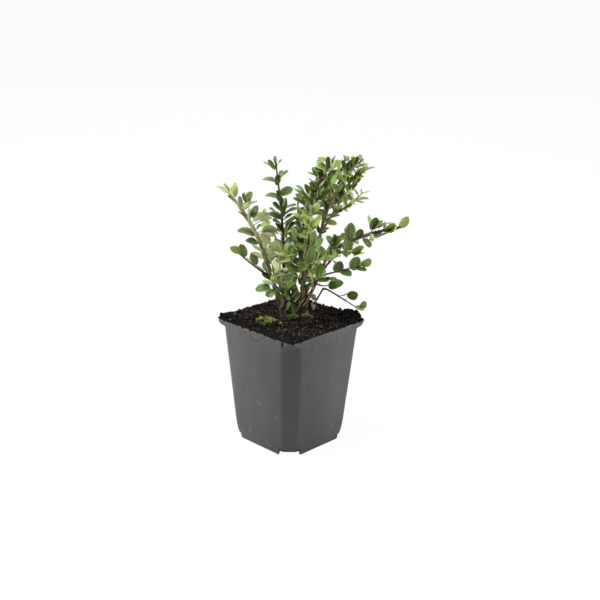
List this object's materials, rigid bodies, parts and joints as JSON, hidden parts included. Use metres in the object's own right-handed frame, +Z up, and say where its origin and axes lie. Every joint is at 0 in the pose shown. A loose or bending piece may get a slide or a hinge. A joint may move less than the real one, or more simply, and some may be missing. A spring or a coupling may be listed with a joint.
{
  "type": "potted wall cotoneaster",
  "caption": "Young low shrub with fanned leafy shoots, rooted in a square tapered nursery pot that stands on its own flat underside.",
  "frame": {"origin": "centre of the pot's flat underside, on the surface that the pot stands on", "axes": "+Z up, X and Y along the pot's sides; the plant spreads along the pot's diagonal from -X +Y to +X -Y, and the picture looks at the corner at -X -Y"},
  "size_m": [0.1286, 0.1345, 0.2443],
  "materials": {
    "pot_plastic": "matt dark grey recycled polypropylene with faint vertical streaks",
    "compost": "dark brown peaty compost, moist and coarse",
    "moss": "soft yellow-green moss",
    "bark_old": "rough grey-brown bark with a red cast",
    "bark_tan": "smooth tan young bark",
    "bark_dark": "dark red-brown young bark",
    "green_dark": "semi-gloss dark green leaves",
    "green_mid": "semi-gloss mid green leaves",
    "green_young": "fresh yellow-green young leaves",
    "green_pale": "pale grey-green leaves that show their undersides"
  },
  "bodies": {
    "root": {"back": "green_dark", "back_foot": "green_mid", "back_left": "green_dark", "back_low": "green_mid", "back_right": "green_mid", "bough_back": "bark_dark", "bough_back_left": "bark_dark", "bough_back_right": "bark_dark", "bough_crest": "bark_dark", "bough_cross": "bark_tan", "bough_front": "bark_tan", "bough_front_left": "bark_tan", "bough_front_right": "bark_tan", "bough_left": "bark_tan", "bough_low": "bark_dark", "bough_right": "bark_dark", "bough_tall": "bark_tan", "bough_trailing": "bark_dark", "bough_upright": "bark_dark", "compost": "compost", "crest": "green_dark", "crest_rear": "green_dark", "cross": "green_mid", "front": "green_young", "front_foot": "green_dark", "front_left": "green_pale", "front_low": "green_mid", "front_mid": "green_mid", "front_right": "green_dark", "inner_left": "green_mid", "inner_mid": "green_mid", "left_inner": "green_pale", "left_leader": "green_pale", "left_low": "green_dark", "left_stem": "bark_old", "left_twig": "green_mid", "low": "green_mid", "low_short": "green_mid", "moss_bright": "moss", "moss_middle": "moss", "moss_right": "moss", "pot": "pot_plastic", "right_inner": "green_mid", "right_leader": "green_mid", "tall": "green_dark", "tall_light": "green_young", "tall_rear": "green_mid", "tall_side": "green_young", "trailing": "green_mid", "trunk": "bark_old", "upright": "green_dark"}
  },
  "joints": []
}
